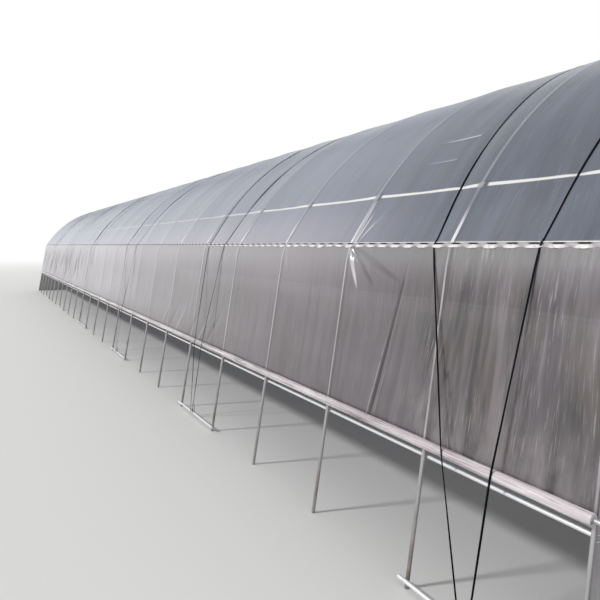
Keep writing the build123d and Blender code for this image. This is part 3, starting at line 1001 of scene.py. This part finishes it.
def streaks_and_painted_fold_light(look, base, streak):
    """Dust and condensation, strongest where a film is loose, which also makes it darker, and painted light:
    darker and lighter bands that are painted fold shade and highlights, brown staining that is partly a
    painted reflection of the earth, and short fine streaks that are partly painted crease shade and glints.
    """
    warp = look.ramp(look.noise((0.55, 0.8, 0.55), 1), 0.3, 0.7, -0.05, 0.05)
    bent = look.add("CombineXYZ", {1: warp}, 0)
    place = look.add("VectorMath", {0: look.place, 1: bent}, "Vector", operation="ADD")
    loose = look.mark("loose")
    amount = look.ramp(loose, 0.1, 1, 0.26, 1)
    bands = look.noise(streak, 2, 0.5, place=place)
    short = look.noise((3.6 * streak[0], 7.5 * streak[1], 3.6 * streak[2]), 3, 0.6, 0.2, place)
    patches = look.ramp(look.noise((2.4, 4.5, 2.4), 3, place=place), 0.4, 0.58, 0.12, 1)
    patches = look.times(patches, amount)
    stains_and_reflection = look.noise((1.7, 3.2, 1.7), 3, place=place)
    # Darker where the film is loose.
    look.layer(look.ramp(loose, 0.1, 1, 0, 0.62), tinted(base, 0.45))
    # Painted fold shade and highlights in the bands, painted crease shade and glints in the short streaks,
    # and brown staining that is partly a painted reflection of the ground.
    for where, grain, limits, colour in (
        (amount, stains_and_reflection, (0.48, 0.62, 0, 0.5), STAIN_AND_SOIL_REFLECTION),
        (amount, bands, (0.34, 0.47, 0.95, 0), tinted(base, 0.22)),
        (amount, bands, (0.53, 0.66, 0, 0.6), tinted(base, 2.4)),
        (patches, short, (0.28, 0.42, 0.7, 0), tinted(base, 0.35)),
        (patches, short, (0.56, 0.72, 0, 0.8), tinted(base, 4)),
    ):
        look.layer(look.times(look.ramp(grain, *limits), where), colour)
    return look.times(look.math("ADD", bands, look.times(short, 0.35)), patches)


def smudges_and_painted_light(look):
    """A loose film's smudges above the roll and its drips, and painted light: paler over the bend, where it
    faces the sky, and paler farther back, a painted reflection.
    """
    height = look.axis("Z")
    loose = look.ramp(look.mark("loose"), 0.1, 0.5, 0.15, 1)
    low = look.times(look.ease(height, ROLL_Z + 0.08, ROLL_Z + 0.42, 1, 0), loose)
    smudges = look.ramp(look.noise((4, 9, 4), 3), 0.38, 0.66, 0.05, 0.55)
    look.layer(look.times(low, smudges), (0.3, 0.27, 0.27))
    # Painted light: the film paler over the bend below the channel, where it faces the sky.
    look.layer(look.ease(height, LOWER_LIP_Z - 0.26, LOWER_LIP_Z - 0.04, 0, 0.48), (0.3, 0.29, 0.3))
    # Painted reflection: the upper side film paler towards the far end.
    upper = look.ease(height, LOWER_LIP_Z - 0.5, LOWER_LIP_Z - 0.1, 0, 1)
    look.layer(look.times(look.ease(look.axis("Y"), *PAINTED_GLARE_YS, 0, 0.4), upper), (0.4, 0.37, 0.41))
    high = look.times(look.ramp(height, LOWER_LIP_Z - 0.2, LOWER_LIP_Z - 0.02, 0, 1), loose)
    drips = look.ramp(look.noise((5, 75, 5), 3), 0.54, 0.72, 0, 0.75)
    drips = look.times(drips, look.ramp(look.noise((3, 6, 3), 2), 0.45, 0.6, 0.15, 1))
    look.layer(look.times(high, drips), (0.42, 0.4, 0.41))


def show_hoops(look, half, shade, tone):
    """Shows where a film lies on the hoops: a painted highlight line that comes and goes, brighter where the
    film is taut above the channel, with a painted shaded side.
    """
    # Painted shade beside each hoop.
    look.layer(look.ease(look.off_hoops(0.024), 0.006, 0.018, shade, 0), look.dark)
    on_hoop = look.ease(look.off_hoops(), half - 0.002, half + 0.003, 1, 0)
    limits = (0.35, 0.62, 0.45 * HOOP_LINE_SHARE, HOOP_LINE_SHARE)
    look.layer(look.times(on_hoop, look.ramp(look.noise((2.2, 1.7, 2.2)), *limits)), tone)
    # A brighter painted highlight on the hoops just above the channel.
    height = look.axis("Z")
    taut = look.ease(height, UPPER_LIP_Z + 0.05, UPPER_LIP_Z + 0.26, 0.9, 0)
    taut = look.times(taut, look.ramp(height, UPPER_LIP_Z - 0.02, UPPER_LIP_Z, 0, 1))
    look.layer(look.times(on_hoop, taut), (0.93, 0.91, 0.93))


def painted_roof_glare_and_gloss(look):
    """The roof film's painted reflection, paler far back and low down as its glare at grazing views, and its
    gloss, duller near the ridge.
    """
    along, height = look.axis("Y"), look.axis("Z")
    # Painted reflection: the roof paler towards the far end, and more so low down.
    look.layer(look.ease(along, *PAINTED_GLARE_YS, 0, 0.4), (0.265, 0.3, 0.395))
    low = look.ease(height, EAVES_Z, EAVES_Z + 0.5, 1, 0)
    look.layer(look.times(look.ease(along, *PAINTED_GLARE_YS, 0, 0.62), low), (0.38, 0.355, 0.44))
    gloss = look.ramp(height, EAVES_Z + 0.2, EAVES_Z + 1.1, 1, 0.2)
    look.give("Coat Weight", gloss)
    look.give("Sheen Weight", gloss)
    look.give("Specular IOR Level", look.times(gloss, 0.5))


def show_purlin(look):
    """The haunch purlin's glint, painted as a bright line in the roof film and broken where the hoops cross
    it, with painted shade round each crossing and a painted highlight on it.
    """
    section = look.add("CombineXYZ", {0: look.math("ABSOLUTE", look.axis("X")), 2: look.axis("Z")}, 0)
    x, z = outline(HAUNCH_ARC - EAVES_ARC, FILM_AT)
    gap = look.add("VectorMath", {0: section, 1: (x, 0, z)}, "Value", operation="DISTANCE")
    # Painted shade where the film tents over each crossing of hoop and purlin.
    patch = look.math("MAXIMUM", gap, look.times(look.off_hoops(0.036), 1.6))
    look.layer(look.ease(patch, 0.022, 0.05, 0.8, 0), look.dark)
    # The painted glint, fainter towards the far end.
    clear = look.ramp(look.off_hoops(0.018), 0.03, 0.046, 0, 1)
    line = look.times(look.ease(gap, 0.0105, 0.0175, 0.95, 0), clear)
    line = look.times(look.ease(look.axis("Y"), *PURLIN_FADE_YS, 1, 0.4), line)
    look.layer(line, (0.9, 0.9, 0.86))
    # A painted highlight on each crossing.
    crossing = look.math("MAXIMUM", gap, look.off_hoops())
    look.layer(look.ease(crossing, 0.012, 0.03, 0.85, 0), (0.36, 0.35, 0.36))


def show_end_frame(look):
    """Shows where an end film lies on its rail and its door posts, as a painted highlight line."""
    for place, at in ((look.axis("Z"), GABLE_RAIL_Z), (look.math("ABSOLUTE", look.axis("X")), DOOR_HALF)):
        gap = look.math("ABSOLUTE", look.math("SUBTRACT", place, at))
        look.layer(look.ease(gap, 0.006, 0.013, 0.5, 0), (0.42, 0.41, 0.43))


def roof_look():
    # The roof film's bluish tint is partly a painted reflection of the sky.
    colours = ((0.066, 0.083, 0.126), (0.108, 0.123, 0.168), COOL)
    look = film("roof_film", ROOF_ALPHA, *colours, (1.1, 9, 1.1), 0.22)
    painted_roof_glare_and_gloss(look)
    show_hoops(look, 0.0115, 0.3, (0.32, 0.325, 0.38))
    show_purlin(look)
    return look.done()


def side_look():
    colours = ((0.092, 0.079, 0.088), (0.148, 0.127, 0.142), WARM)
    look = film("side_film", SIDE_ALPHA, *colours, (1.5, 15, 1.5), 0.4)
    smudges_and_painted_light(look)
    show_hoops(look, 0.006, 0.4, (0.62, 0.6, 0.63))
    return look.done()


def end_look():
    colours = ((0.132, 0.126, 0.136), (0.19, 0.184, 0.192), WARM)
    look = film("end_film", END_ALPHA, *colours, (11, 1, 1.3), 0.4)
    show_end_frame(look)
    return look.done()


def rolled_film():
    """Many turns of film: milky and creased along the roll, with painted shade in the creases and painted
    highlights on their ridges.
    """
    look = Look("rolled_film", (0.4, 0.35, 0.37), IOR=1.45, Coat_Weight=0.5, Coat_Roughness=0.2)
    creases = look.noise((70, 2.2, 70), 5, 0.65, 0.4)
    patches = look.noise((3, 1.3, 3))
    look.layer(look.ramp(patches, 0.35, 0.65, 0, 1), (0.74, 0.68, 0.7))
    # Painted shade in the creases and painted highlights on their ridges.
    look.layer(look.ramp(creases, 0.38, 0.47, 0.8, 0), (0.16, 0.14, 0.15))
    look.layer(look.ramp(creases, 0.56, 0.64, 0, 0.7), (0.92, 0.87, 0.88))
    look.rough(patches, 0.28, 0.5)
    look.bumped(creases, 0.5, 0.003)
    return look.done()


def tail_film():
    """The films' loose edges, which look white where they pucker, with painted shade where they stay down in
    the channel.
    """
    look = Look("film_tails", (0.66, 0.61, 0.61), IOR=1.45, Alpha=0.93)
    puckers = look.noise((60, 40, 60), 4, 0.6)
    look.layer(look.ramp(puckers, 0.34, 0.5, 0, 1), (0.95, 0.92, 0.91))
    # Painted shade where the edges stay down in the channel.
    look.layer(look.ramp(look.mark("held"), 0, 1, 0, 0.85), (0.4, 0.36, 0.37))
    look.rough(puckers, 0.25, 0.5)
    look.bumped(puckers, 0.6, 0.003)
    return look.done()


def tucked_film():
    """The films down in the channel: painted shade with some dirt, and paler where the wire presses them up
    to the lip, a painted light where they leave the shade.
    """
    # The near-black colour is painted shade in the channel.
    look = Look("film_tucks", (0.02, 0.014, 0.016), IOR=1.45)
    soil_and_shade = look.noise((30, 14, 30))
    look.layer(soil_and_shade, (0.075, 0.06, 0.062))
    # Painted light where the wire holds the films up out of the shade.
    look.layer(look.mark("held"), (0.6, 0.54, 0.54))
    look.rough(soil_and_shade, 0.35, 0.6)
    look.bumped(soil_and_shade, 0.4, 0.002)
    return look.done()


def woven_tape():
    """Black woven plastic tape: crossing flat threads with a low sheen and some dust."""
    look = Look("woven_tape", (0.002, 0.002, 0.003), IOR=1.45, Specular_IOR_Level=0.06)
    across = {"Vector": look.place, "Scale": 260, "Distortion": 1.5, "Detail": 1}
    along = {"Vector": look.place, "Scale": 300, "Distortion": 1}
    weave = look.add("TexWave", across, "Fac", bands_direction="Z")
    threads = look.times(weave, look.add("TexWave", along, "Fac", bands_direction="Y"))
    dust = look.noise((4, 4, 4), 5)
    look.layer(threads, (0.008, 0.008, 0.01))
    look.layer(look.ramp(dust, 0.5, 0.8, 0, 0.2), (0.018, 0.017, 0.017))
    look.rough(dust, 0.55, 0.75)
    look.bumped(threads, 0.4, 0.0006)
    return look.done()


def spring_steel():
    look = Look("spring_steel", (0.4, 0.41, 0.42), Metallic=0.7)
    worn = look.noise((50, 30, 50))
    look.layer(worn, (0.72, 0.73, 0.73))
    look.rough(worn, 0.25, 0.5)
    return look.done()


# Everything that is seen
def dress_steel():
    legs = galvanised("galvanised_hoops", 0.62, soiled_shaded_feet=True)
    bars = galvanised("galvanised_bars", 0.92, metallic=0.3)
    channel = galvanised("galvanised_channel", 0.74)
    for look, starts in (
        (legs, ("hoops", "end_hoop", "door_posts", "gable_rails", "door_head", "hem_pipe")),
        (channel, ("film_channel",)),
        (bars, ("ridge", "haunch", "low_rail", "anchor")),
    ):
        for name, node in frame["nodes"].items():
            if name.startswith(starts):
                for slot in node.material_slots:
                    slot.material = look


def sheet(name, mesh, marks, look, stands_for, flat, rests_on, held="stretched", shaped=False):
    """A piece of film. Its flat size and whether it is shaped are not used."""
    made = piece(name, mesh, look, stands_for, marks)


def dress_films():
    roof, side, end = roof_look(), side_look(), end_look()
    flat = (2 * EAVES_ARC, 2 * (END_Y + HEM))
    sheet("roof_film_sheet", *roof_film(), roof, "roof_film", flat, ["hoops_bay_1", "end_hoop"])
    mesh, marks = side_film()
    flat = (ROLL_ARC - EAVES_ARC, 2 * END_Y)
    for name, turned in SIDES:
        held_by = [f"film_channel_{name}", f"hem_pipe_{name}"]
        sheet(f"side_film_sheet_{name}", turned(mesh), marks, side, f"side_film_{name}", flat, held_by)
    for place, out in (("front", -1), ("back", 1)):
        dress_end(place, out, end)


def dress_end(place, out, look):
    mesh, marks = gable_side(out)
    flat = (FOOT_X - DOOR_HALF + HEM, RIDGE_Z)
    posts = [f"door_posts_{place}"]
    for name, turned in SIDES:
        cad, made = f"gable_film_{place}_{name}", f"end_film_sheet_{place}_{name}"
        sheet(made, turned(mesh), marks, look, cad, flat, posts, shaped=True)
    cad, made = f"gable_film_{place}_over_door", f"end_film_sheet_{place}_over_door"
    flat = (2 * DOOR_HALF, RIDGE_Z - DOOR_HEAD_Z + HOOP_R)
    sheet(made, *gable_over_door(out), look, cad, flat, [f"door_head_{place}"], shaped=True)


def dress_rolls_and_locks():
    roll_look = rolled_film()
    tails = ("film_tails", *film_tails(), tail_film(), 0.040)
    tucks = ("film_tucks", *film_tucks(), tucked_film(), 0.024)
    wire_look = spring_steel()
    for side, turned in SIDES:
        piece(f"hem_roll_film_{side}", turned(hem_roll()), roll_look, f"hem_roll_{side}")
        piece(f"lock_spring_{side}", turned(lock_spring()), wire_look, f"lock_wire_{side}")
        channel = [f"film_channel_{side}"]
        for name, mesh, marks, look, width in (tails, tucks):
            flat = (width, 2 * END_Y)
            sheet(f"{name}_{side}", turned(mesh), marks, look, None, flat, channel, "gathered", shaped=True)
    piece("wire_clips", purlin_clips(), wire_look)
    piece("anchor_ties", anchor_ties(), wire_look)


def dress_straps():
    look = woven_tape()
    for bay in range(1, BAYS + 1):
        cad = f"hold_down_straps_bay_{bay}"
        piece(f"strap_tapes_bay_{bay}", strap_tapes(bay), look, cad, smooth=False)


# Stage, light and camera
FLOOR_HALF = 160.0
FLOOR_Z = -0.002
AMBIENT = 0.55
WHITE = (1.0, 1.0, 1.0)
CAMERA_AT = (-5.255, -13.195, 1.99)
CAMERA_TURN_DEG = 31.4
CAMERA_DOWN_DEG = 2.1
CAMERA_LENS = 31.2
CAMERA_SHIFT_Y = -0.06


def seen_directly(nodes):
    """One for what the camera sees, also in reflections and through clear things."""
    camera_ray = nodes.add("LightPath", {}, "Is Camera Ray")
    seen = nodes.math("MAXIMUM", camera_ray, nodes.add("LightPath", {}, "Is Glossy Ray"))
    return nodes.math("MAXIMUM", seen, nodes.add("LightPath", {}, "Is Transmission Ray"))


def floor():
    data = bpy.data.meshes.new("floor")
    corners = [(x * FLOOR_HALF, y * FLOOR_HALF, FLOOR_Z) for x, y in ((-1, -1), (1, -1), (1, 1), (-1, 1))]
    data.from_pydata(corners, [], [(0, 1, 2, 3)])
    look = Look("pale_floor", (0.80, 0.80, 0.79), Roughness=0.9)
    distance = look.add("VectorMath", {0: look.place}, "Value", operation="LENGTH")
    share = look.times(look.ease(distance, 18.0, 70.0, 0.0, 1.0), seen_directly(look))
    white = look.add("Emission", {"Color": WHITE, "Strength": 1.0}, 0)
    mix = look.add("MixShader", {0: share, 1: look.shader.outputs[0], 2: white}, 0)
    look.put(mix, look.tree.nodes["Material Output"].inputs["Surface"])
    data.materials.append(look.done())
    shown("floor", data)


def world():
    made = bpy.data.worlds.new("soft_daylight")
    bpy.context.scene.world = made
    made.use_nodes = True
    nodes = Nodes(made.node_tree)
    background = nodes.tree.nodes["Background"]
    nodes.put(WHITE, background.inputs["Color"])
    nodes.put(nodes.ramp(seen_directly(nodes), 0.0, 1.0, AMBIENT, 1.0), background.inputs["Strength"])


def sun(name, toward, strength, angle_deg):
    """A sun lamp that stands in the direction toward."""
    lamp = bpy.data.lights.new(name, "SUN")
    lamp.energy = strength
    lamp.angle = radians(angle_deg)
    shown(name, lamp).rotation_euler = Vector(toward).to_track_quat("Z", "Y").to_euler()


def camera():
    lens = bpy.data.cameras.new("camera")
    lens.sensor_width = 36.0
    lens.lens = CAMERA_LENS
    lens.shift_y = CAMERA_SHIFT_Y
    lens.clip_end = 500.0
    made = shown("camera", lens)
    made.location = CAMERA_AT
    made.rotation_euler = (radians(90 - CAMERA_DOWN_DEG), 0, -radians(CAMERA_TURN_DEG))
    bpy.context.scene.camera = made


def main():
    camera()
    world()
    sun("sun", (-0.75, 0.30, 0.60), 1.5, 6.0)
    sun("fill", (0.2, -0.85, 0.5), 0.35, 60.0)
    floor()
    dress_steel()
    dress_films()
    dress_rolls_and_locks()
    dress_straps()
    bpy.context.scene.view_settings.view_transform = "Standard"


main()
